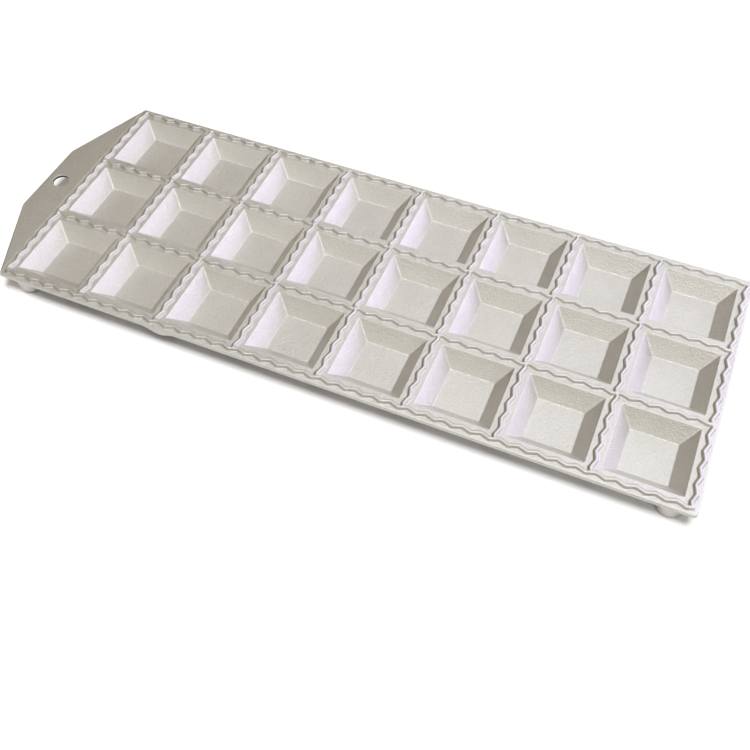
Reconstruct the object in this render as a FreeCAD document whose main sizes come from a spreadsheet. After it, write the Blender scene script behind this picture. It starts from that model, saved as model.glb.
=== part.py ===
import FreeCAD, Part

import math
import os

import Sketcher
from FreeCAD import Vector

# A cast tray for ravioli: rows of square tapered pockets with zigzag cutting ridges all round them,
# a hanging tab at one end and four round feet. It is one casting, so it is one body.
# Origin: on the plane that the feet stand on, under the middle of the overall length and width.
# +X runs along the tray away from the tab, +Z is up. Lengths are in millimetres.

NODE = "mold_tray"

SIZES = {
    # The grid of pockets.
    "cell_pitch": 36.0,
    "cell_columns": 8,
    "cell_rows": 3,
    # The plate, from the middle of the outer ridges to its edge, and its thickness.
    "plate_margin": 2.8,
    "plate_thick": 1.8,
    "plate_corner": 1.5,
    # One pocket: opening, floor, depth, easing of its inner corners and of its rim.
    "pocket_rim": 29.8,
    "pocket_floor": 18.7,
    "pocket_depth": 6.6,
    "pocket_easing": 0.6,
    "rim_easing": 0.3,
    # The wall round and under each pocket, its outer easing, and the gap down to the feet's plane.
    "wall_thick": 1.7,
    "wall_easing": 1.5,
    "ground_gap": 0.6,
    # The cutting ridges: height, width at crest and foot, depth of their root in the plate,
    # zigzags to a cell and how far they swing.
    "ridge_height": 1.1,
    "ridge_crest": 0.7,
    "ridge_foot": 2.3,
    "ridge_root": 0.3,
    "ridge_waves": 5,
    "ridge_swing": 0.6,
    # The hanging tab: reach past the plate, width at its end, step down from the land, corners.
    "tab_reach": 16.1,
    "tab_width": 37.4,
    "tab_drop": 0.5,
    "tab_corner": 6.0,
    # The hanging hole: diameter, its middle's distance from the tab's end, easing of its rim.
    "hole_bore": 7.0,
    "hole_inset": 7.2,
    "hole_easing": 0.3,
    # The feet: diameter, easing at the bottom, and how far their middles are from the plate's
    # long edges and from its two ends.
    "foot_round": 11.0,
    "foot_easing": 0.5,
    "foot_inset": 6.0,
    "foot_from_tab_end": 9.9,
    "foot_from_far_end": 9.1,
}

# Places that follow from the sizes, as expressions on the sheet.
FLOOR_TOP = "(Sizes.ground_gap + Sizes.wall_thick)"
LAND = f"({FLOOR_TOP} + Sizes.pocket_depth)"
PLATE_UNDER = f"({LAND} - Sizes.plate_thick)"
DECK_THICK = "(Sizes.plate_thick - Sizes.tab_drop)"
GRID_LENGTH = "(Sizes.cell_columns * Sizes.cell_pitch)"
GRID_WIDTH = "(Sizes.cell_rows * Sizes.cell_pitch)"
PLATE_MIDDLE = "(Sizes.tab_reach / 2)"
PLATE_LEFT = f"({PLATE_MIDDLE} - {GRID_LENGTH} / 2 - Sizes.plate_margin)"
PLATE_RIGHT = f"({PLATE_MIDDLE} + {GRID_LENGTH} / 2 + Sizes.plate_margin)"
PLATE_SIDE = f"({GRID_WIDTH} / 2 + Sizes.plate_margin)"
TAB_END = f"({PLATE_LEFT} - Sizes.tab_reach)"
TAB_SIDE = "(Sizes.tab_width / 2)"
FIRST_RIDGE_X = f"({PLATE_MIDDLE} - {GRID_LENGTH} / 2)"
FIRST_RIDGE_Y = f"(-{GRID_WIDTH} / 2)"
# How far a pocket's wall leans out for each millimetre up, and the wall's thickness taken level.
WALL_LEAN = "((Sizes.pocket_rim - Sizes.pocket_floor) / 2 / Sizes.pocket_depth)"
WALL_LEVEL = f"(Sizes.wall_thick * sqrt(1 + {WALL_LEAN} ^ 2))"


def make_sheet(doc):
    """Put the driving dimensions in a spreadsheet, one alias each."""
    sheet = doc.addObject("Spreadsheet::Sheet", "Sizes")
    for row, (alias, value) in enumerate(SIZES.items(), start=1):
        sheet.set(f"A{row}", alias)
        sheet.set(f"B{row}", str(value))
        sheet.setAlias(f"B{row}", alias)
    doc.recompute()
    return sheet


def origin_part(body, role):
    """Find one of the body's own origin planes or axes."""
    for feature in body.Origin.OriginFeatures:
        if feature.Role == role:
            return feature
    raise LookupError(role)


def new_sketch(body, name, role, x="0", y="0", z="0"):
    """Start a sketch on an origin plane, with its own zero moved to a place worked out by the sheet."""
    sketch = body.newObject("Sketcher::SketchObject", name)
    sketch.AttachmentSupport = [(origin_part(body, role), "")]
    sketch.MapMode = "FlatFace"
    for axis, place in zip("xyz", (x, y, z)):
        sketch.setExpression(f".AttachmentOffset.Base.{axis}", place)
    return sketch


def value_of(sketch, expression):
    """The number that an expression on the sheet stands for now."""
    return float(sketch.evalExpression(expression))


def add_bound(sketch, bound):
    """Add constraints whose values come from the sheet: (kind, what it ties, expression)."""
    first = sketch.ConstraintCount
    sketch.addConstraint([
        Sketcher.Constraint(kind, *ties, value_of(sketch, expression)) for kind, ties, expression in bound
    ])
    for index, (kind, ties, expression) in enumerate(bound, start=first):
        sketch.setExpression(f"Constraints[{index}]", expression)


def draw_rounded(sketch, corners):
    """Draw a convex outline, anticlockwise, whose corners (x, y, radius) are rounded by tangent arcs."""
    points = [Vector(value_of(sketch, x), value_of(sketch, y), 0) for x, y, radius in corners]
    radii = [value_of(sketch, radius) for x, y, radius in corners]
    count = len(points)
    starts, ends, arcs = [], [], []
    for i, (corner, radius) in enumerate(zip(points, radii)):
        before = (corner - points[i - 1]).normalize()
        after = (points[(i + 1) % count] - corner).normalize()
        turn = before.getAngle(after)
        setback = radius * math.tan(turn / 2)
        ends.append(corner - before * setback)
        starts.append(corner + after * setback)
        first_angle = math.atan2(-before.x, before.y)
        centre = ends[i] + Vector(-before.y, before.x, 0) * radius
        circle = Part.Circle(centre, Vector(0, 0, 1), radius)
        arcs.append(Part.ArcOfCircle(circle, first_angle, first_angle + turn))
    edges = [Part.LineSegment(starts[i], ends[(i + 1) % count]) for i in range(count)]
    sketch.addGeometry(edges + arcs, False)
    sketch.addGeometry([Part.Point(point) for point in points], True)
    joints, bound = [], []
    for i, (x, y, radius) in enumerate(corners):
        edge_in = (i - 1) % count
        arc = count + i
        mark = 2 * count + i
        joints.append(Sketcher.Constraint("Tangent", edge_in, 2, arc, 1))
        joints.append(Sketcher.Constraint("Tangent", arc, 2, i, 1))
        joints.append(Sketcher.Constraint("PointOnObject", mark, 1, edge_in))
        joints.append(Sketcher.Constraint("PointOnObject", mark, 1, i))
        bound.append(("DistanceX", (-1, 1, mark, 1), x))
        bound.append(("DistanceY", (-1, 1, mark, 1), y))
        bound.append(("Radius", (arc,), radius))
    sketch.addConstraint(joints)
    add_bound(sketch, bound)


def pad(body, name, sketch, length):
    """Pad a sketch upwards by a length from the sheet."""
    feature = body.newObject("PartDesign::Pad", name)
    feature.Profile = sketch
    feature.setExpression("Length", length)
    return feature


def wedge(body, kind, name, low, high, low_half, high_half):
    """A square block in the first cell that grows or shrinks evenly from a low height to a high one."""
    feature = body.newObject(kind, name)
    feature.AttachmentSupport = [(origin_part(body, "XZ_Plane"), "")]
    feature.MapMode = "FlatFace"
    feature.setExpression(".AttachmentOffset.Base.x", f"{FIRST_RIDGE_X} + Sizes.cell_pitch / 2")
    feature.setExpression(".AttachmentOffset.Base.z", f"-({FIRST_RIDGE_Y} + Sizes.cell_pitch / 2)")
    feature.setExpression("Ymin", low)
    feature.setExpression("Ymax", high)
    for side, half in (("", low_half), ("2", high_half)):
        for axis in ("X", "Z"):
            feature.setExpression(f"{axis}{side}min", f"-{half}")
            feature.setExpression(f"{axis}{side}max", half)
    return feature


def repeat_in_cells(body, name, features):
    """Repeat what is in the first cell in every other cell."""
    pattern = body.newObject("PartDesign::LinearPattern", name)
    pattern.Originals = features
    for number, role, count in (("", "X_Axis", "Sizes.cell_columns"), ("2", "Y_Axis", "Sizes.cell_rows")):
        setattr(pattern, f"Direction{number}", (origin_part(body, role), [""]))
        pattern.setExpression(f"Occurrences{number}", count)
        pattern.setExpression(f"Length{number}", f"({count} - 1) * Sizes.cell_pitch")
    body.Tip = pattern
    return pattern


def ease(body, name, accept, size):
    """Chamfer the edges of the body so far whose box the test accepts."""
    base = body.Tip
    body.Document.recompute()
    edges = [f"Edge{i}" for i, edge in enumerate(base.Shape.Edges, start=1) if accept(edge.BoundBox)]
    feature = body.newObject("PartDesign::Chamfer", name)
    feature.Base = (base, edges)
    feature.setExpression("Size", size)
    return feature


def near(first, second):
    """Whether two places are the same."""
    return abs(first - second) < 0.01


def make_plate(body):
    """The thin plate with its tab, and the slightly raised land that carries the pockets."""
    deck_outline = new_sketch(body, "deck_outline", "XY_Plane", z=PLATE_UNDER)
    draw_rounded(deck_outline, [
        (PLATE_LEFT, f"-{PLATE_SIDE}", "Sizes.plate_corner"),
        (PLATE_RIGHT, f"-{PLATE_SIDE}", "Sizes.plate_corner"),
        (PLATE_RIGHT, PLATE_SIDE, "Sizes.plate_corner"),
        (PLATE_LEFT, PLATE_SIDE, "Sizes.plate_corner"),
        (TAB_END, TAB_SIDE, "Sizes.tab_corner"),
        (TAB_END, f"-{TAB_SIDE}", "Sizes.tab_corner"),
    ])
    pad(body, "deck", deck_outline, DECK_THICK)
    land_outline = new_sketch(body, "land_outline", "XY_Plane", z=f"{PLATE_UNDER} + {DECK_THICK}")
    draw_rounded(land_outline, [
        (PLATE_LEFT, f"-{PLATE_SIDE}", "Sizes.plate_corner"),
        (PLATE_RIGHT, f"-{PLATE_SIDE}", "Sizes.plate_corner"),
        (PLATE_RIGHT, PLATE_SIDE, "Sizes.plate_corner"),
        (PLATE_LEFT, PLATE_SIDE, "Sizes.plate_corner"),
    ])
    return pad(body, "land", land_outline, "Sizes.tab_drop")


def make_shells(body):
    """The cast shells under the plate, one for each pocket, with their outer corners eased."""
    rim_half = "(Sizes.pocket_rim / 2)"
    floor_half = "(Sizes.pocket_floor / 2)"
    shell_top_half = f"({rim_half} - {WALL_LEAN} * Sizes.plate_thick / 2 + {WALL_LEVEL})"
    shell_foot_half = f"({floor_half} - {WALL_LEAN} * Sizes.wall_thick + {WALL_LEVEL})"
    shell_top = f"{LAND} - Sizes.plate_thick / 2"
    shell = wedge(body, "PartDesign::AdditiveWedge", "pocket_shell",
                  "Sizes.ground_gap", shell_top, shell_foot_half, shell_top_half)
    repeat_in_cells(body, "shells", [shell])
    ground_gap = value_of(body, "Sizes.ground_gap")
    ease(body, "shell_easing", lambda box: near(box.ZMin, ground_gap), "Sizes.wall_easing")


def make_feet(body):
    """Two round feet near the front corners, and their mirror images behind, eased at the bottom."""
    circles = new_sketch(body, "foot_circles", "XY_Plane")
    radius = value_of(circles, "Sizes.foot_round / 2")
    front = f"-({PLATE_SIDE} - Sizes.foot_inset)"
    middles = [
        f"({PLATE_LEFT} + Sizes.foot_from_tab_end)",
        f"({PLATE_RIGHT} - Sizes.foot_from_far_end)",
    ]
    for number, middle in enumerate(middles):
        centre = Vector(value_of(circles, middle), value_of(circles, front), 0)
        circles.addGeometry(Part.Circle(centre, Vector(0, 0, 1), radius), False)
        add_bound(circles, [
            ("DistanceX", (-1, 1, number, 3), middle),
            ("DistanceY", (-1, 1, number, 3), front),
            ("Diameter", (number,), "Sizes.foot_round"),
        ])
    feet = pad(body, "front_feet", circles, f"{PLATE_UNDER} + Sizes.plate_thick / 2")
    mirrored = body.newObject("PartDesign::Mirrored", "back_feet")
    mirrored.Originals = [feet]
    mirrored.MirrorPlane = (origin_part(body, "XZ_Plane"), [""])
    body.Tip = mirrored
    ease(body, "foot_easing", lambda box: near(box.ZMin, 0) and near(box.ZMax, 0), "Sizes.foot_easing")


def make_cavities(body):
    """The tapered cavities in the shells, with their inner corners, floor edges and rims eased."""
    cavity = wedge(body, "PartDesign::SubtractiveWedge", "pocket_cavity",
                   FLOOR_TOP, LAND, "(Sizes.pocket_floor / 2)", "(Sizes.pocket_rim / 2)")
    repeat_in_cells(body, "cavities", [cavity])
    floor_top = value_of(body, FLOOR_TOP)
    land = value_of(body, LAND)
    grid_middle = value_of(body, PLATE_MIDDLE)
    grid_reach = value_of(body, f"{GRID_LENGTH} / 2")
    grid_side = value_of(body, f"{GRID_WIDTH} / 2")

    def on_a_rim(box):
        level = near(box.ZMin, land) and near(box.ZMax, land)
        middle = box.Center
        return level and abs(middle.x - grid_middle) < grid_reach and abs(middle.y) < grid_side

    ease(body, "cavity_easing", lambda box: near(box.ZMin, floor_top), "Sizes.pocket_easing")
    ease(body, "rim_easing", on_a_rim, "Sizes.rim_easing")


def zigzag_band(sheet, cells, half_width, first_side):
    """Corners (along, across) of one zigzag band, counted from its first crossing.

    The band is on its middle line at every crossing and swings to first_side (1 or -1) first.
    """
    quarter = value_of(sheet, "Sizes.cell_pitch / (4 * Sizes.ridge_waves)")
    swing = value_of(sheet, "Sizes.ridge_swing")
    end = cells * value_of(sheet, "Sizes.cell_pitch")
    middle_line = [(-half_width, 0), (0, 0)]
    side = first_side
    for step in range(1, 4 * cells * int(value_of(sheet, "Sizes.ridge_waves")), 2):
        middle_line.append((step * quarter, side * swing))
        side = -side
    middle_line += [(end, 0), (end + half_width, 0)]
    right_side = [(along, across - half_width) for along, across in middle_line]
    left_side = [(along, across + half_width) for along, across in middle_line]
    return right_side + left_side[::-1]


def ridge_bar(sheet, cells, first_side, crosswise):
    """One ridge as a solid with flat flanks, from its root in the plate up to its crest."""
    height = value_of(sheet, "Sizes.ridge_height")
    root = value_of(sheet, "Sizes.ridge_root")
    crest_half = value_of(sheet, "Sizes.ridge_crest / 2")
    foot_half = value_of(sheet, "Sizes.ridge_foot / 2")
    root_half = foot_half + (foot_half - crest_half) * root / height
    rings = []
    for level, half_width in ((-root, root_half), (height, crest_half)):
        band = zigzag_band(sheet, cells, half_width, first_side)
        if crosswise:
            band = [(across, along) for along, across in band[::-1]]
        rings.append([Vector(x, y, level) for x, y in band])
    low, high = rings
    faces = [Part.Face(Part.makePolygon(ring + ring[:1])) for ring in rings]
    for i in range(len(low)):
        flank = [low[i - 1], low[i], high[i], high[i - 1], low[i - 1]]
        faces.append(Part.Face(Part.makePolygon(flank)))
    return Part.makeSolid(Part.makeShell(faces))


def make_ridges(doc, sheet):
    """The zigzag cutting ridges on every cell line, both ways, joined where they cross."""
    pitch = value_of(sheet, "Sizes.cell_pitch")
    columns = int(value_of(sheet, "Sizes.cell_columns"))
    rows = int(value_of(sheet, "Sizes.cell_rows"))
    long_bar = ridge_bar(sheet, columns, 1, crosswise=False)
    cross_bar = ridge_bar(sheet, rows, -1, crosswise=True)
    bars = [long_bar.translated(Vector(0, row * pitch, 0)) for row in range(rows + 1)]
    bars += [cross_bar.translated(Vector(column * pitch, 0, 0)) for column in range(columns + 1)]
    ridges = doc.addObject("Part::Feature", "cutting_ridges")
    ridges.Shape = bars[0].multiFuse(bars[1:]).removeSplitter()
    for axis, place in zip("xyz", (FIRST_RIDGE_X, FIRST_RIDGE_Y, LAND)):
        ridges.setExpression(f".Placement.Base.{axis}", place)
    return ridges


def make_hole(body):
    """The hanging hole through the tab, with an eased upper rim."""
    circle = new_sketch(body, "hole_circle", "XY_Plane", x=f"{TAB_END} + Sizes.hole_inset", z=LAND)
    radius = value_of(circle, "Sizes.hole_bore / 2")
    circle.addGeometry(Part.Circle(Vector(0, 0, 0), Vector(0, 0, 1), radius), False)
    circle.addConstraint(Sketcher.Constraint("Coincident", 0, 3, -1, 1))
    add_bound(circle, [("Diameter", (0,), "Sizes.hole_bore")])
    hole = body.newObject("PartDesign::Pocket", "hanging_hole")
    hole.Profile = circle
    hole.Type = "ThroughAll"
    tab_top = value_of(body, f"{PLATE_UNDER} + {DECK_THICK}")
    hole_middle = value_of(body, f"{TAB_END} + Sizes.hole_inset")

    def on_the_rim(box):
        return near(box.ZMin, tab_top) and near(box.Center.x, hole_middle) and near(box.Center.y, 0)

    ease(body, "hole_easing", on_the_rim, "Sizes.hole_easing")


def make_tray(doc, sheet):
    """The whole casting: the plate with its pockets, feet and hole, and the ridges cast on it."""
    body = doc.addObject("PartDesign::Body", "pocket_plate")
    make_plate(body)
    make_shells(body)
    make_feet(body)
    make_cavities(body)
    make_hole(body)
    tray = doc.addObject("Part::MultiFuse", NODE)
    tray.Shapes = [body, make_ridges(doc, sheet)]
    tray.Refine = True
    tray.Label = NODE
    return tray


def check(doc, pieces):
    """Stop if a feature failed or a piece isn't one closed, valid solid."""
    failed = [item.Name for item in doc.Objects if {"Invalid", "Error"} & set(item.State)]
    if failed:
        raise RuntimeError("failed: " + ", ".join(failed))
    for piece in pieces:
        shape = piece.Shape
        if shape.isNull() or not shape.isValid() or len(shape.Solids) != 1:
            raise RuntimeError(piece.Label + " is not one valid solid")


def main():
    doc = FreeCAD.newDocument("ravioli_mold")
    sheet = make_sheet(doc)
    pieces = [make_tray(doc, sheet)]
    doc.recompute()
    check(doc, pieces)
    os.makedirs("parts", exist_ok=True)
    for piece in pieces:
        piece.Shape.exportStep(f"parts/{piece.Label}.step")
        box = piece.Shape.BoundBox
        print(piece.Label, "volume", round(piece.Shape.Volume), "faces", len(piece.Shape.Faces))
        print("from", box.XMin, box.YMin, box.ZMin, "to", box.XMax, box.YMax, box.ZMax)


main()
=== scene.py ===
"""The looks of a cast ravioli tray: tapered pockets, zigzag cutting ridges, a hanging tab and small feet."""

import math

import bmesh
import bpy
import numpy as np
from mathutils import Matrix, Vector
from mathutils.geometry import tessellate_polygon


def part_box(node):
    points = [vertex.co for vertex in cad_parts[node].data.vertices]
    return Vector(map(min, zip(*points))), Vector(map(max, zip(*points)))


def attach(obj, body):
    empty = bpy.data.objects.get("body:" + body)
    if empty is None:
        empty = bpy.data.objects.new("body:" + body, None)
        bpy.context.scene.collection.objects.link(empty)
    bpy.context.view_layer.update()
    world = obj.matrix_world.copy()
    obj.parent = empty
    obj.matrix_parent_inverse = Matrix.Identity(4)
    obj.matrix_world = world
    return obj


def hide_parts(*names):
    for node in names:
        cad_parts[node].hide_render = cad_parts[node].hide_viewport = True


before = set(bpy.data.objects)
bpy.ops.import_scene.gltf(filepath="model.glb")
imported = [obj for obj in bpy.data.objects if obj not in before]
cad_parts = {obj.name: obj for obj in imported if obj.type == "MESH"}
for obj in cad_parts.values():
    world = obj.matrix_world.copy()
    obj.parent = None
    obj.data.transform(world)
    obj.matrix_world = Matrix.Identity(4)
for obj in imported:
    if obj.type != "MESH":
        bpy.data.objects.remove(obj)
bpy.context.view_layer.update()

# Sizes of the casting, in millimetres. The outer ones come from the tray's part in model.glb.
MM = 0.001
LOW, HIGH = (Vector(corner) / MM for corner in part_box("mold_tray"))
CELL = 36.0
COLUMNS = 8
ROWS = 3
TAB_REACH = 16.1
TAB_WIDTH = 37.4
TAB_DROP = 0.5
TAB_CORNER = 6.0
PLATE_THICK = 1.8
PLATE_CORNER = 1.5
PLATE_HALF_LENGTH = (HIGH.x - LOW.x - TAB_REACH) / 2
PLATE_HALF_WIDTH = HIGH.y
GRID_MIDDLE = LOW.x + TAB_REACH + PLATE_HALF_LENGTH

RIDGE_TOP = HIGH.z
RIDGE_HEIGHT = 1.1
RIDGE_CREST = 0.35
RIDGE_FOOT = 1.15
RIDGE_LAND_END = 1.45
RIDGE_HOLD = 0.03
WAVES_IN_CELL = 5
SWING = 0.6
TURN_LENGTH = 0.3
CREST_ROUND = 0.6
FOOT_ROUND = 0.5
STATION_GAP = 0.04
# Bows the outermost ring of the ridges a little, because points in one line are filled badly.
RIM_BOW = 0.04

LAND = RIDGE_TOP - RIDGE_HEIGHT
TAB_TOP = LAND - TAB_DROP
UNDERSIDE = LAND - PLATE_THICK

POCKET_RIM = 14.9
POCKET_FLOOR = 9.35
POCKET_DEPTH = 6.6
POCKET_CORNER = 0.6
RIM_ROUND = 0.4
FLOOR_ROUND = 0.6
WALL_THICK = 1.7
BACK_ROUND = 2.2
# Flat bands kept round the pocket's rim and floor and round its back, and beside each rounding.
RIM_BAND = 0.6
FLOOR_BAND = 1.2
BACK_BAND = 1.2
BACK_FLAT = 2.5
ROUND_HOLD = 0.2

EDGE_ROUND = 0.7
LOWER_EDGE_ROUND = 0.35
STEP_ROUND = 0.2
STEP_LEAN = 0.15
STEP_ROW_END = 0.4
STEP_LINE_INSET = 3.2
UNDER_EDGE_INSET = 1.4

# The spot on the front edge where the metal was poured in, broken off and filed down.
GATE_MIDDLE = -69.5
GATE_HALF = 7.5
GATE_FILED = 1.4
GATE_DEPTH = 2.4
GATE_PLACES = [part / 6 for part in range(-6, 7)]

HOLE_RADIUS = 3.5
HOLE_FROM_TAB_END = 7.2
HOLE_ROUND = 0.35
HOLE_POINTS = 40

FOOT_RADIUS = 5.5
FOOT_EDGE = 1.4
FOOT_INSET = 6.0
FOOT_FROM_TAB_END = 9.9
FOOT_FROM_FAR_END = 9.1
FOOT_POINTS = 48
FOOT_SINK = 1.3
FOOT_HEAD_SHARES = (1.0, 0.8, 0.6, 0.4, 0.2)

# A quarter of a circle of radius 1, as shares sideways and down from where it starts.
QUARTER_ARC = [(1 - math.sin(turn), 1 - math.cos(turn)) for turn in map(math.radians, (0, 30, 60, 90))]

# Colours are linear. The shades are shares of painted shade or painted highlight that a place's colour loses
# or gains.
ALUMINIUM = (0.74, 0.725, 0.70)
PAINTED_FLANK_SHADE = -0.18
PAINTED_STEP_HIGHLIGHT = 0.4
PAINTED_BORE_SHADE = -0.88
GRAIN_SCALE = 1500.0
GRAIN_DEPTH = 0.00032
CLOUD_SCALE = 45.0
WHITE = (1.0, 1.0, 1.0)
BLACK = (0.0, 0.0, 0.0)
ROOM_LIGHT = (0.125, 0.105, 0.080)

# The floor, in metres, and how white it is to all but the camera.
FLOOR_MIDDLE = 0.1
FLOOR_RADIUS = 1.25
FLOOR_POINTS = 96
FLOOR_WHITENESS = 0.65


class Surface:
    """Points and faces of a surface while it is put together, in millimetres."""

    def __init__(self):
        self.points = []
        self.faces = []

    def ring(self, outline, height):
        """Adds a closed line of points, with one height for all or one for each, and returns their numbers."""
        heights = height if hasattr(height, "__len__") else [height] * len(outline)
        first = len(self.points)
        self.points.extend((x, y, z) for (x, y), z in zip(outline, heights))
        return list(range(first, len(self.points)))

    def bridge(self, outer, inner):
        """Joins two closed rings of as many points by a band of four-sided faces."""
        count = len(outer)
        for i in range(count):
            following = (i + 1) % count
            self.faces.append((outer[i], outer[following], inner[following], inner[i]))

    def bridge_all(self, rings):
        for outer, inner in zip(rings, rings[1:]):
            self.bridge(outer, inner)

    def fill(self, *loops):
        """Fills the flat region inside the first loop and outside the others."""
        numbers = [number for loop in loops for number in loop]
        outlines = [[Vector(self.points[number]) for number in loop] for loop in loops]
        for corners in tessellate_polygon(outlines):
            self.faces.append(tuple(numbers[corner] for corner in corners))

    def mesh(self, name, shift=0.0):
        """The surface as a mesh in metres, moved along the tray by a shift in millimetres."""
        mesh = bpy.data.meshes.new(name)
        points = [((x + shift) * MM, y * MM, z * MM) for x, y, z in self.points]
        mesh.from_pydata(points, [], self.faces)
        return mesh


def corner_arc(before, corner, after, radius, steps):
    """The centre of the arc that rounds a corner, and its arms of unit length from one end to the other."""
    back = (before - corner).normalized()
    ahead = (after - corner).normalized()
    half_turn = (math.pi - back.angle(ahead)) / 2
    centre = corner + (back + ahead).normalized() * radius / math.cos(half_turn)
    reach = radius * math.tan(half_turn)
    start = (corner + back * reach - centre).normalized()
    end = (corner + ahead * reach - centre).normalized()
    return centre, [start.slerp(end, step / steps) for step in range(steps + 1)]


def rounded_path(corners, steps, hold=0.0):
    """An open profile of straight runs, rounded at each inner corner (across, height, radius). A point held
    beside each arc keeps the shading of the straight runs flat."""
    path = [Vector(corners[0][:2])]
    for before, middle, after in zip(corners, corners[1:], corners[2:]):
        radius = middle[2]
        corner = Vector(middle[:2])
        start, end = Vector(before[:2]), Vector(after[:2])
        centre, arms = corner_arc(start, corner, end, radius, steps)
        arc = [centre + arm * radius for arm in arms]
        if hold:
            arc.insert(0, arc[0] + (start - corner).normalized() * hold)
            arc.append(arc[-1] + (end - corner).normalized() * hold)
        path.extend(arc)
    path.append(Vector(corners[-1][:2]))
    return path


def rounded_outline(corners, steps, inset=0.0):
    """Points round a closed outline of corners (x, y, radius), moved inwards by an inset."""
    outline = []
    for number, (x, y, radius) in enumerate(corners):
        before = Vector(corners[number - 1][:2])
        after = Vector(corners[(number + 1) % len(corners)][:2])
        centre, arms = corner_arc(before, Vector((x, y)), after, radius, steps)
        outline.extend(tuple(centre + arm * (radius - inset)) for arm in arms)
    return outline


def square(half, radius, steps=4):
    """A square with rounded corners."""
    return rounded_outline(
        [(-half, -half, radius), (half, -half, radius), (half, half, radius), (-half, half, radius)], steps)


def swing(along):
    """How far a ridge swings off its middle line, at a place measured along it from a cell corner."""
    period = CELL / WAVES_IN_CELL
    quarter = period / 4
    phase = np.mod(np.asarray(along, float), period)
    side = np.where(phase < 2 * quarter, 1.0, -1.0)
    from_turn = np.abs(np.mod(phase, 2 * quarter) - quarter)
    slope = SWING / quarter
    straight = SWING - slope * from_turn
    rounded = SWING - slope * (from_turn ** 2 + TURN_LENGTH ** 2) / (2 * TURN_LENGTH)
    return side * np.where(from_turn < TURN_LENGTH, rounded, straight)


def ridge_stations(cells):
    """Places along a ridge: each cell corner, and three round every turn of the zigzag."""
    quarter = CELL / WAVES_IN_CELL / 4
    turns = [quarter * (2 * turn + 1) for turn in range(2 * WAVES_IN_CELL)]
    places = [0.0] + [turn + part for turn in turns for part in (-TURN_LENGTH, 0.0, TURN_LENGTH)]
    return np.array([cell * CELL + place for cell in range(cells) for place in places])


def ridge_outline(columns, rows, inset):
    """A closed line round a block of cells that follows the zigzags, at an inset from their crest lines."""
    half = (columns * CELL / 2, rows * CELL / 2)
    reach = (half[0] - inset, half[1] - inset)

    def on_long_side(x, side):
        return side * reach[1] + swing(x + half[0])

    def on_cross_side(y, side):
        return side * reach[0] - swing(y + half[1])

    def corner(side_x, side_y):
        x, y = side_x * reach[0], side_y * reach[1]
        for _ in range(20):
            x, y = float(on_cross_side(y, side_x)), float(on_long_side(x, side_y))
        return x, y

    def between(low, high, cells, middle):
        places = ridge_stations(cells)[1:] - middle
        ranks = np.arange(1, len(places) + 1)
        return np.clip(places, low + STATION_GAP * ranks, high - STATION_GAP * ranks[::-1])

    front_left, front_right = corner(-1, -1), corner(1, -1)
    back_right, back_left = corner(1, 1), corner(-1, 1)
    front = between(front_left[0], front_right[0], columns, half[0])
    right = between(front_right[1], back_right[1], rows, half[1])
    back = between(back_left[0], back_right[0], columns, half[0])[::-1]
    left = between(front_left[1], back_left[1], rows, half[1])[::-1]
    return [
        front_left, *zip(front, on_long_side(front, -1)),
        front_right, *zip(on_cross_side(right, 1), right),
        back_right, *zip(back, on_long_side(back, 1)),
        back_left, *zip(on_cross_side(left, -1), left),
    ]


def ridge_profile():
    """Half a cutting ridge, from its crest line down to the land: how far across, and how high."""
    return rounded_path([
        (0.0, RIDGE_TOP, 0.0),
        (RIDGE_CREST, RIDGE_TOP, CREST_ROUND),
        (RIDGE_FOOT, LAND, FOOT_ROUND),
        (RIDGE_LAND_END, LAND, 0.0),
    ], steps=3, hold=RIDGE_HOLD)


def pocket_cell():
    """One cell of the tray from crest line to crest line, with the pocket and, below it, the pocket's back."""
    cell = Surface()
    ridge = [cell.ring(ridge_outline(1, 1, across), height) for across, height in ridge_profile()]
    cell.bridge_all(ridge)

    floor = LAND - POCKET_DEPTH
    bowl = rounded_path([
        (POCKET_RIM + RIM_BAND, LAND, 0.0),
        (POCKET_RIM, LAND, RIM_ROUND),
        (POCKET_FLOOR, floor, FLOOR_ROUND),
        (POCKET_FLOOR - FLOOR_BAND, floor, 0.0),
    ], steps=4, hold=ROUND_HOLD)
    rings = [cell.ring(square(half, POCKET_CORNER), height) for half, height in bowl]
    cell.fill(ridge[-1], rings[0])
    cell.bridge_all(rings)
    cell.fill(rings[-1])

    lean = (POCKET_RIM - POCKET_FLOOR) / POCKET_DEPTH
    across = WALL_THICK * math.sqrt(1 + lean ** 2)
    bottom = floor - WALL_THICK
    back_at_plate = POCKET_FLOOR + across + lean * (UNDERSIDE - floor)
    back_at_bottom = POCKET_FLOOR + across + lean * (bottom - floor)
    back = rounded_path([
        (back_at_plate + BACK_BAND, UNDERSIDE, 0.0),
        (back_at_plate, UNDERSIDE, FOOT_ROUND),
        (back_at_bottom, bottom, BACK_ROUND),
        (back_at_bottom - BACK_FLAT, bottom, 0.0),
    ], steps=5, hold=ROUND_HOLD)
    rings = [cell.ring(square(half, BACK_ROUND), height) for half, height in back]
    edge = CELL / 2
    border = cell.ring([(-edge, -edge), (edge, -edge), (edge, edge), (-edge, edge)], UNDERSIDE)
    cell.fill(border, rings[0])
    cell.bridge_all(rings)
    cell.fill(rings[-1])
    return cell.mesh("pocket_cell")


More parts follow.
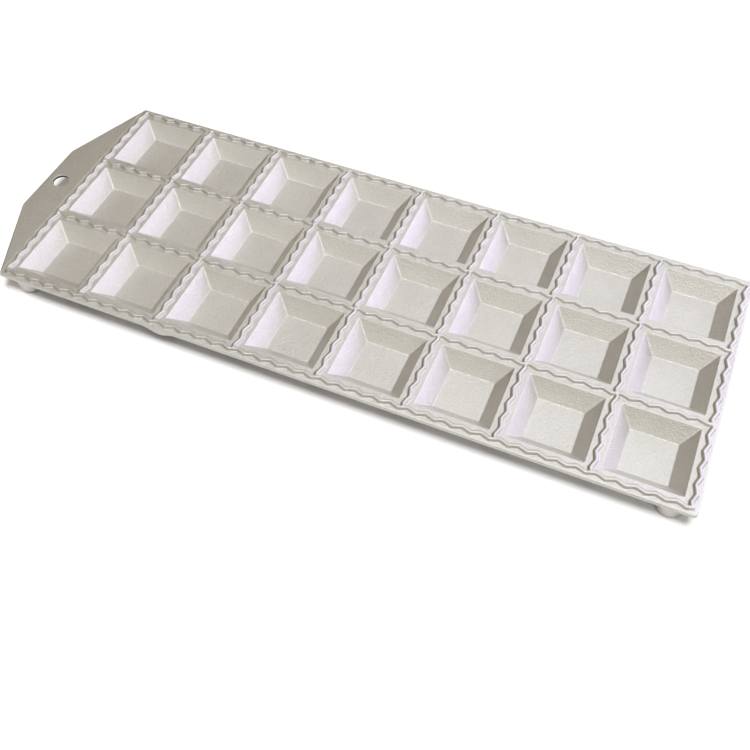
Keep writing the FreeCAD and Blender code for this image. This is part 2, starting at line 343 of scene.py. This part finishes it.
def cell_grid_tree():
    """Repeats a cell in rows and columns and welds the copies into one sheet."""
    tree = bpy.data.node_groups.new("cells_in_rows", "GeometryNodeTree")
    sockets = {}
    for name, kind in (("Cell", "NodeSocketGeometry"), ("Columns", "NodeSocketInt"), ("Rows", "NodeSocketInt"),
                       ("Pitch", "NodeSocketFloat"), ("Middle", "NodeSocketVector"),
                       ("Metal", "NodeSocketMaterial")):
        sockets[name] = tree.interface.new_socket(name, in_out="INPUT", socket_type=kind).identifier
    tree.interface.new_socket("Sheet", in_out="OUTPUT", socket_type="NodeSocketGeometry")
    nodes, links = tree.nodes, tree.links
    given = nodes.new("NodeGroupInput")
    result = nodes.new("NodeGroupOutput")

    def span(count):
        """The length from the first to the last of a number of cells."""
        steps = nodes.new("ShaderNodeMath")
        steps.operation = "SUBTRACT"
        links.new(given.outputs[count], steps.inputs[0])
        steps.inputs[1].default_value = 1.0
        length = nodes.new("ShaderNodeMath")
        length.operation = "MULTIPLY"
        links.new(steps.outputs[0], length.inputs[0])
        links.new(given.outputs["Pitch"], length.inputs[1])
        return length.outputs[0]

    grid = nodes.new("GeometryNodeMeshGrid")
    links.new(span("Columns"), grid.inputs["Size X"])
    links.new(span("Rows"), grid.inputs["Size Y"])
    links.new(given.outputs["Columns"], grid.inputs["Vertices X"])
    links.new(given.outputs["Rows"], grid.inputs["Vertices Y"])
    moved = nodes.new("GeometryNodeTransform")
    links.new(grid.outputs["Mesh"], moved.inputs["Geometry"])
    links.new(given.outputs["Middle"], moved.inputs["Translation"])
    copies = nodes.new("GeometryNodeInstanceOnPoints")
    links.new(moved.outputs["Geometry"], copies.inputs["Points"])
    links.new(given.outputs["Cell"], copies.inputs["Instance"])
    real = nodes.new("GeometryNodeRealizeInstances")
    links.new(copies.outputs["Instances"], real.inputs["Geometry"])
    painted = nodes.new("GeometryNodeSetMaterial")
    links.new(real.outputs["Geometry"], painted.inputs["Geometry"])
    links.new(given.outputs["Metal"], painted.inputs["Material"])
    links.new(painted.outputs["Geometry"], result.inputs["Sheet"])
    return tree, sockets


def evaluated_mesh(piece):
    """The mesh of a piece with its modifiers applied, which are then removed."""
    bpy.context.view_layer.update()
    shown = piece.evaluated_get(bpy.context.evaluated_depsgraph_get())
    mesh = bpy.data.meshes.new_from_object(shown)
    piece.modifiers.clear()
    return mesh


def pocket_sheet(metal):
    """All the cells, laid out by the geometry nodes."""
    holder = bpy.data.objects.new("pocket_sheet", pocket_cell())
    bpy.context.scene.collection.objects.link(holder)
    tree, sockets = cell_grid_tree()
    repeat = holder.modifiers.new("cells_in_rows", "NODES")
    repeat.node_group = tree
    repeat[sockets["Columns"]] = COLUMNS
    repeat[sockets["Rows"]] = ROWS
    repeat[sockets["Pitch"]] = CELL * MM
    repeat[sockets["Middle"]] = (GRID_MIDDLE * MM, 0.0, 0.0)
    repeat[sockets["Metal"]] = metal
    mesh = evaluated_mesh(holder)
    bpy.data.objects.remove(holder)
    return mesh


def step_profile():
    """The step from the tab up to the land: how far along the tray from the plate's edge, and how high."""
    return rounded_path([
        (-STEP_ROW_END, TAB_TOP, 0.0),
        (-STEP_LEAN, TAB_TOP, STEP_ROUND),
        (STEP_LEAN, LAND, STEP_ROUND),
        (STEP_ROW_END, LAND, 0.0),
    ], steps=2)


def plate_corners():
    """The outline of plate and tab, with the corner radii."""
    tab_end = -PLATE_HALF_LENGTH - TAB_REACH
    tab_side = TAB_WIDTH / 2
    return [
        (-PLATE_HALF_LENGTH, -PLATE_HALF_WIDTH, PLATE_CORNER),
        (PLATE_HALF_LENGTH, -PLATE_HALF_WIDTH, PLATE_CORNER),
        (PLATE_HALF_LENGTH, PLATE_HALF_WIDTH, PLATE_CORNER),
        (-PLATE_HALF_LENGTH, PLATE_HALF_WIDTH, PLATE_CORNER),
        (tab_end, tab_side, TAB_CORNER),
        (tab_end, -tab_side, TAB_CORNER),
    ]


def plate_edge():
    """The plate outside the outer ridges: land, tab with its step and hole, rounded edges and underside."""
    plate = Surface()
    ridge = [plate.ring(ridge_outline(COLUMNS, ROWS, -across), height) for across, height in ridge_profile()]
    half_length, half_width = COLUMNS * CELL / 2, ROWS * CELL / 2
    for number in ridge[-1]:
        x, y, height = plate.points[number]
        if abs(x) > half_length:
            x += math.copysign(RIM_BOW * (1 - (y / half_width) ** 2), x)
        else:
            y += math.copysign(RIM_BOW * (1 - (x / half_length) ** 2), y)
        plate.points[number] = (x, y, height)
    plate.bridge_all(ridge)

    step = step_profile()
    rows = len(step)
    arc_steps = rows + 1
    arc_points = arc_steps + 1
    step_up = [TAB_TOP, *(height for _, height in step), LAND]
    gate_points = len(GATE_PLACES)
    tops = step_up + [LAND] * (2 * arc_points + gate_points) + step_up[::-1] + [TAB_TOP] * (2 * arc_points)
    gate = [0.0] * arc_points + [(1 - place ** 2) ** 2 for place in GATE_PLACES] + [0.0] * (5 * arc_points)

    def edge_line(inset):
        """The outline of plate and tab, with more points along the gate on the front edge."""
        outline = rounded_outline(plate_corners(), arc_steps, inset)
        places = [(GATE_MIDDLE + GATE_HALF * place, inset - PLATE_HALF_WIDTH) for place in GATE_PLACES]
        return outline[:arc_points] + places + outline[arc_points:]

    rings = []
    for inward, down in QUARTER_ARC:
        heights = [top - (EDGE_ROUND + (GATE_FILED - EDGE_ROUND) * share) * down
                   for top, share in zip(tops, gate)]
        rings.append(plate.ring(edge_line(EDGE_ROUND * inward), heights))
    for up, inward in QUARTER_ARC:
        heights = [UNDERSIDE + LOWER_EDGE_ROUND * up - GATE_DEPTH * share for share in gate]
        rings.append(plate.ring(edge_line(LOWER_EDGE_ROUND * inward), heights))
    rings.append(plate.ring(edge_line(UNDER_EDGE_INSET), UNDERSIDE))
    plate.bridge_all(rings)
    top_edge, under_edge = rings[0], rings[-1]

    front_ends = top_edge[1:rows + 1]
    back_start = 3 * arc_points + gate_points
    back_ends = top_edge[back_start + 1:back_start + rows + 1][::-1]
    line_end = PLATE_HALF_WIDTH - STEP_LINE_INSET
    lines = []
    for (along, height), front, back in zip(step, front_ends, back_ends):
        x = -PLATE_HALF_LENGTH + along
        middle = plate.ring([(x, -line_end), (x, line_end)], height)
        lines.append([front, *middle, back])
    for lower, upper in zip(lines, lines[1:]):
        for i in range(3):
            plate.faces.append((lower[i], upper[i], upper[i + 1], lower[i + 1]))

    land_edge = top_edge[rows:back_start + 2]
    plate.fill(land_edge + lines[-1][2:0:-1], ridge[-1])

    hole = [plate.ring(circle(HOLE_RADIUS + across), height) for across, height in hole_profile()]
    plate.bridge_all(hole)
    tab_edge = top_edge[back_start + rows:] + top_edge[:2]
    plate.fill(tab_edge + lines[0][1:3], hole[0])

    grid = plate.ring(cell_corners(), UNDERSIDE)
    plate.fill(under_edge, grid, hole[-1])
    return plate.mesh("plate_edge", GRID_MIDDLE)


def hole_profile():
    """The wall of the hanging hole from the top down: how far outside the bore, and how high."""
    upper = [(HOLE_ROUND * outward, TAB_TOP - HOLE_ROUND * down) for outward, down in QUARTER_ARC]
    lower = [(HOLE_ROUND * outward, UNDERSIDE + HOLE_ROUND * up) for up, outward in QUARTER_ARC]
    return upper + lower


def circle(radius):
    """A circle round the middle of the hanging hole."""
    middle = -PLATE_HALF_LENGTH - TAB_REACH + HOLE_FROM_TAB_END
    turns = [2 * math.pi * point / HOLE_POINTS for point in range(HOLE_POINTS)]
    return [(middle + radius * math.cos(turn), radius * math.sin(turn)) for turn in turns]


def cell_corners():
    """The cell corners round the whole grid."""
    half_length = COLUMNS * CELL / 2
    half_width = ROWS * CELL / 2
    front = [(-half_length + column * CELL, -half_width) for column in range(COLUMNS)]
    right = [(half_length, -half_width + row * CELL) for row in range(ROWS)]
    back = [(half_length - column * CELL, half_width) for column in range(COLUMNS)]
    left = [(-half_length, half_width - row * CELL) for row in range(ROWS)]
    return front + right + back + left


def foot(middle, side):
    """A round foot under a corner pocket. Its head ends inside the plate and inside the pocket's wall."""
    stud = Surface()
    centre_x, centre_y = middle, side * (PLATE_HALF_WIDTH - FOOT_INSET)
    cell_x = GRID_MIDDLE + (math.floor((middle - GRID_MIDDLE) / CELL) + 0.5) * CELL
    cell_y = side * (ROWS - 1) / 2 * CELL

    def round_line(radius):
        turns = [2 * math.pi * point / FOOT_POINTS for point in range(FOOT_POINTS)]
        return [(centre_x + radius * math.cos(turn), centre_y + radius * math.sin(turn)) for turn in turns]

    def hidden_height(place):
        """A height inside the pocket's wall or the plate, above a place on the foot."""
        out = max(abs(place[0] - cell_x), abs(place[1] - cell_y))
        wall = LAND - POCKET_DEPTH + (out - POCKET_FLOOR) / (POCKET_RIM - POCKET_FLOOR) * POCKET_DEPTH
        return min(UNDERSIDE + PLATE_THICK / 2, wall - FOOT_SINK)

    rings = []
    for inward, up in QUARTER_ARC:
        rings.append(stud.ring(round_line(FOOT_RADIUS - FOOT_EDGE * inward), FOOT_EDGE * up))
    for share in FOOT_HEAD_SHARES:
        line = round_line(FOOT_RADIUS * share)
        rings.append(stud.ring(line, [hidden_height(place) for place in line]))
    stud.bridge_all(rings)
    stud.fill(rings[0])
    stud.fill(rings[-1])
    return stud.mesh("foot")


def cast_tray(metal):
    """The whole casting as one mesh: a closed sheet, and four closed feet that reach into it."""
    parts = [pocket_sheet(metal), plate_edge()]
    for middle in (LOW.x + TAB_REACH + FOOT_FROM_TAB_END, HIGH.x - FOOT_FROM_FAR_END):
        for side in (-1, 1):
            parts.append(foot(middle, side))
    whole = bmesh.new()
    for part in parts:
        whole.from_mesh(part)
        bpy.data.meshes.remove(part)
    bmesh.ops.remove_doubles(whole, verts=whole.verts, dist=0.002 * MM)
    bmesh.ops.recalc_face_normals(whole, faces=whole.faces)
    mesh = bpy.data.meshes.new("cast_tray")
    whole.to_mesh(mesh)
    whole.free()
    mesh.materials.clear()
    mesh.materials.append(metal)
    mesh.polygons.foreach_set("material_index", [0] * len(mesh.polygons))
    mesh.shade_smooth()
    tray = bpy.data.objects.new("cast_tray", mesh)
    bpy.context.scene.collection.objects.link(tray)
    flat_faces_first = tray.modifiers.new("flat_faces_first", "WEIGHTED_NORMAL")
    flat_faces_first.mode = "FACE_AREA"
    flat_faces_first.weight = 80
    tray.data = evaluated_mesh(tray)
    return tray


def new_material(name):
    material = bpy.data.materials.new(name)
    material.use_nodes = True
    nodes = material.node_tree.nodes
    nodes.clear()
    return material, nodes, material.node_tree.links


def cast_aluminium():
    """Satin cast aluminium with a fine grain. Three marks of painted light, two shades and a highlight, were
    matched to the photograph.
    """
    material, nodes, links = new_material("cast_aluminium")
    place = nodes.new("ShaderNodeTexCoord")

    def noise(scale, detail, roughness):
        node = nodes.new("ShaderNodeTexNoise")
        node.inputs["Scale"].default_value = scale
        node.inputs["Detail"].default_value = detail
        node.inputs["Roughness"].default_value = roughness
        links.new(place.outputs["Object"], node.inputs["Vector"])
        return node.outputs["Fac"]

    def mapped(source, low, high, start=0.3, end=0.7):
        node = nodes.new("ShaderNodeMapRange")
        node.inputs["From Min"].default_value = start
        node.inputs["From Max"].default_value = end
        node.inputs["To Min"].default_value = low
        node.inputs["To Max"].default_value = high
        links.new(source, node.inputs["Value"])
        return node.outputs["Result"]

    def worked(operation, first, second=0.0):
        node = nodes.new("ShaderNodeMath")
        node.operation = operation
        for socket, value in zip(node.inputs, (first, second)):
            if isinstance(value, float):
                socket.default_value = value
            else:
                links.new(value, socket)
        return node.outputs[0]

    def fade_in(source, start, end):
        """From 0 to 1 between two places in millimetres."""
        return mapped(source, 0.0, 1.0, start * MM, end * MM)

    def fade_out(source, start, end):
        """From 1 to 0 between two places in millimetres."""
        return mapped(source, 1.0, 0.0, start * MM, end * MM)

    def both(first, second):
        return worked("MULTIPLY", first, second)

    axes = nodes.new("ShaderNodeSeparateXYZ")
    links.new(place.outputs["Object"], axes.inputs[0])
    along, across, height = axes.outputs
    grain = noise(GRAIN_SCALE, 3.0, 0.65)
    cloud = noise(CLOUD_SCALE, 3.0, 0.55)

    # Painted shade: the flanks of the ridges are darker.
    above_land = fade_in(height, LAND + 0.03, LAND + 0.15)
    painted_flank_mask = both(above_land, fade_out(height, RIDGE_TOP - 0.4, RIDGE_TOP - 0.15))
    # Painted highlight: the line along the top of the step to the tab is brighter.
    from_step = worked("ABSOLUTE", worked("ADD", along, -(LOW.x + TAB_REACH) * MM))
    painted_step_highlight = both(fade_out(from_step, 0.35, 0.7), fade_in(height, TAB_TOP - 0.3, TAB_TOP - 0.1))
    # Painted shade: the bore of the hole is dark below its rounded rim.
    along_hole = worked("ABSOLUTE", worked("ADD", along, -(LOW.x + HOLE_FROM_TAB_END) * MM))
    across_hole = worked("ABSOLUTE", across)
    squares = worked("ADD", worked("POWER", along_hole, 2.0), worked("POWER", across_hole, 2.0))
    from_hole = worked("SQRT", squares)
    in_hole = fade_out(from_hole, HOLE_RADIUS + 0.35, HOLE_RADIUS + 0.45)
    bore = both(in_hole, fade_out(height, TAB_TOP - 0.25, TAB_TOP - 0.1))

    shade = both(mapped(grain, 0.93, 1.05), mapped(cloud, 0.97, 1.03))
    # Painted shade and painted highlight, laid over the metal's own grain.
    shading = worked("ADD", both(painted_flank_mask, PAINTED_FLANK_SHADE), both(painted_step_highlight, PAINTED_STEP_HIGHLIGHT))
    shade = both(shade, worked("ADD", shading, 1.0))
    # Painted shade low in the bore of the hole.
    shade = both(shade, worked("ADD", both(bore, PAINTED_BORE_SHADE), 1.0))
    tint = nodes.new("ShaderNodeVectorMath")
    tint.operation = "SCALE"
    tint.inputs[0].default_value = ALUMINIUM
    links.new(shade, tint.inputs["Scale"])
    metal = nodes.new("ShaderNodeBsdfPrincipled")
    metal.inputs["Metallic"].default_value = 1.0
    links.new(tint.outputs[0], metal.inputs["Base Color"])
    links.new(mapped(cloud, 0.32, 0.38), metal.inputs["Roughness"])
    bump = nodes.new("ShaderNodeBump")
    bump.inputs["Strength"].default_value = 1.0
    bump.inputs["Distance"].default_value = GRAIN_DEPTH
    links.new(grain, bump.inputs["Height"])
    links.new(bump.outputs["Normal"], metal.inputs["Normal"])
    output = nodes.new("ShaderNodeOutputMaterial")
    links.new(metal.outputs["BSDF"], output.inputs["Surface"])
    return material


def pale_floor():
    """A white floor that keeps the tray's soft shadow."""
    material, nodes, links = new_material("pale_floor")
    path = nodes.new("ShaderNodeLightPath")
    whiteness = nodes.new("ShaderNodeMapRange")
    whiteness.inputs["To Min"].default_value = FLOOR_WHITENESS
    whiteness.inputs["To Max"].default_value = 1.0
    links.new(path.outputs["Is Camera Ray"], whiteness.inputs["Value"])
    matt = nodes.new("ShaderNodeBsdfDiffuse")
    links.new(whiteness.outputs["Result"], matt.inputs["Color"])
    output = nodes.new("ShaderNodeOutputMaterial")
    links.new(matt.outputs[0], output.inputs["Surface"])
    mesh = bpy.data.meshes.new("floor")
    turns = [2 * math.pi * point / FLOOR_POINTS for point in range(FLOOR_POINTS)]
    rim = [(FLOOR_MIDDLE + FLOOR_RADIUS * math.cos(turn), FLOOR_RADIUS * math.sin(turn), 0.0)
           for turn in turns]
    mesh.from_pydata(rim, [], [range(FLOOR_POINTS)])
    mesh.materials.append(material)
    floor = bpy.data.objects.new("floor", mesh)
    bpy.context.scene.collection.objects.link(floor)
    return floor


def white_world():
    """White to the eye and in reflections, and a plain soft light everywhere else."""
    world = bpy.data.worlds.new("white_room")
    bpy.context.scene.world = world
    world.use_nodes = True
    nodes, links = world.node_tree.nodes, world.node_tree.links
    nodes.clear()
    path = nodes.new("ShaderNodeLightPath")
    seen = path.outputs["Is Camera Ray"]
    for ray in ("Is Glossy Ray", "Is Transmission Ray"):
        most = nodes.new("ShaderNodeMath")
        most.operation = "MAXIMUM"
        links.new(seen, most.inputs[0])
        links.new(path.outputs[ray], most.inputs[1])
        seen = most.outputs[0]
    tone = nodes.new("ShaderNodeMix")
    tone.data_type = "RGBA"
    tone.inputs[6].default_value = (*ROOM_LIGHT, 1.0)
    tone.inputs[7].default_value = (*WHITE, 1.0)
    links.new(seen, tone.inputs["Factor"])
    glow = nodes.new("ShaderNodeBackground")
    links.new(tone.outputs[2], glow.inputs["Color"])
    output = nodes.new("ShaderNodeOutputWorld")
    links.new(glow.outputs[0], output.inputs["Surface"])


def aimed(thing, place, target):
    """Puts a lamp or card at a place, in metres, facing a target."""
    direction = Vector(target) - Vector(place)
    thing.matrix_world = Matrix.LocRotScale(Vector(place), direction.to_track_quat("-Z", "Y"), None)
    return thing


def soft_lamp(name, place, target, size, power, colour, diffuse=True, glossy=True):
    """A lamp that can be kept out of the plain lighting or out of reflections."""
    light = bpy.data.lights.new(name, "AREA")
    light.shape = "RECTANGLE"
    light.size, light.size_y = size
    light.energy = power
    light.color = colour
    lamp = bpy.data.objects.new(name, light)
    bpy.context.scene.collection.objects.link(lamp)
    lamp.visible_diffuse = diffuse
    lamp.visible_glossy = glossy
    return aimed(lamp, place, target)


def grey_card(name, place, target, size, low_level, high_level, rise=(0.0, 1.0)):
    """A card beside the tray, darker at its foot than at its head, that only the tray's reflections show."""
    material, nodes, links = new_material(name)
    place_on_card = nodes.new("ShaderNodeTexCoord")
    upright = nodes.new("ShaderNodeSeparateXYZ")
    links.new(place_on_card.outputs["Object"], upright.inputs[0])
    share = nodes.new("ShaderNodeMapRange")
    share.inputs["From Min"].default_value = size[1] * (rise[0] - 0.5)
    share.inputs["From Max"].default_value = size[1] * (rise[1] - 0.5)
    links.new(upright.outputs["Y"], share.inputs["Value"])
    tone = nodes.new("ShaderNodeMix")
    tone.data_type = "RGBA"
    links.new(share.outputs["Result"], tone.inputs["Factor"])
    tone.inputs[6].default_value = (*low_level, 1.0)
    tone.inputs[7].default_value = (*high_level, 1.0)
    glow = nodes.new("ShaderNodeEmission")
    links.new(tone.outputs[2], glow.inputs["Color"])
    output = nodes.new("ShaderNodeOutputMaterial")
    links.new(glow.outputs[0], output.inputs["Surface"])
    half_width, half_height = size[0] / 2, size[1] / 2
    mesh = bpy.data.meshes.new(name)
    mesh.from_pydata([(-half_width, -half_height, 0), (half_width, -half_height, 0),
                      (half_width, half_height, 0), (-half_width, half_height, 0)], [], [(0, 1, 2, 3)])
    mesh.materials.append(material)
    card = bpy.data.objects.new(name, mesh)
    bpy.context.scene.collection.objects.link(card)
    card.visible_camera = False
    card.visible_diffuse = False
    card.visible_shadow = False
    card.visible_transmission = False
    return aimed(card, place, target)


def photo_camera():
    """The camera at the photograph's viewing angle, from the fit of the cell corners."""
    azimuth, elevation, roll = (math.radians(angle) for angle in (-23.3285, 55.8775, -0.9914))
    target = Vector((39.442, -40.741, 10.0)) * MM
    distance = 326.03 * MM
    focal_pixels, centre_pixel, frame_pixels = 854.456, 405.27, 750.0
    forward = Vector((math.sin(azimuth) * math.cos(elevation), math.cos(azimuth) * math.cos(elevation),
                      -math.sin(elevation)))
    level = Vector((math.cos(azimuth), -math.sin(azimuth), 0.0))
    upward = level.cross(forward)
    right = level * math.cos(roll) + upward * math.sin(roll)
    up = upward * math.cos(roll) - level * math.sin(roll)
    lens = bpy.data.cameras.new("photo_camera")
    lens.sensor_width = 36.0
    lens.lens = focal_pixels / frame_pixels * lens.sensor_width
    lens.shift_x = (frame_pixels / 2 - centre_pixel) / frame_pixels
    lens.clip_start = 0.01
    camera = bpy.data.objects.new("photo_camera", lens)
    bpy.context.scene.collection.objects.link(camera)
    turned = Matrix((right, up, -forward)).transposed().to_4x4()
    camera.matrix_world = Matrix.Translation(target - forward * distance) @ turned
    bpy.context.scene.camera = camera


def light_tray():
    """A lamp for all, one for the tray, three for the floor round it, and cards for the tray to reflect."""
    soft_lamp("ceiling_lamp", (0.45, -0.6, 3.0), (0.0, 0.0, 0.0), size=(1.8, 1.5), power=18.5,
              colour=(0.985, 0.99, 1.0))
    soft_lamp("right_lamp", (0.7, 0.45, 0.2), (0.134, 0.0, 0.0), size=(0.6, 0.3), power=1.65,
              colour=(0.68, 0.61, 1.0), diffuse=False)
    soft_lamp("floor_lamp", (0.4, 0.0, 3.0), (0.0, 0.0, 0.0), size=(1.5, 1.5), power=84.0,
              colour=WHITE, glossy=False)
    soft_lamp("left_floor_lamp", (-1.2, 0.3, 0.6), (-0.15, 0.0, 0.0), size=(0.6, 0.4), power=4.4,
              colour=(1.0, 0.94, 0.86), glossy=False)
    soft_lamp("front_floor_lamp", (0.35, -0.25, 0.12), (0.12, -0.06, 0.0), size=(0.2, 0.1), power=0.25,
              colour=WHITE, glossy=False)
    grey_card("left_card", (-0.9, 0.2, 0.45), (0.0, 0.0, 0.2), size=(2.4, 1.4),
              low_level=BLACK, high_level=(0.50, 0.42, 0.285))
    grey_card("front_left_card", (-0.35, -1.0, 0.25), (-0.35, 0.0, 0.1), size=(0.7, 0.9),
              low_level=(0.26, 0.235, 0.17), high_level=(0.78, 0.71, 0.50), rise=(0.45, 0.8))
    grey_card("front_card", (0.85, -1.0, 0.25), (0.85, 0.0, 0.1), size=(1.7, 0.9),
              low_level=BLACK, high_level=(0.80, 0.73, 0.52), rise=(0.45, 0.8))


metal = cast_aluminium()
tray = cast_tray(metal)
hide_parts("mold_tray")
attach(tray, "root")

pale_floor()
white_world()
light_tray()
photo_camera()
bpy.context.scene.view_settings.view_transform = "Standard"
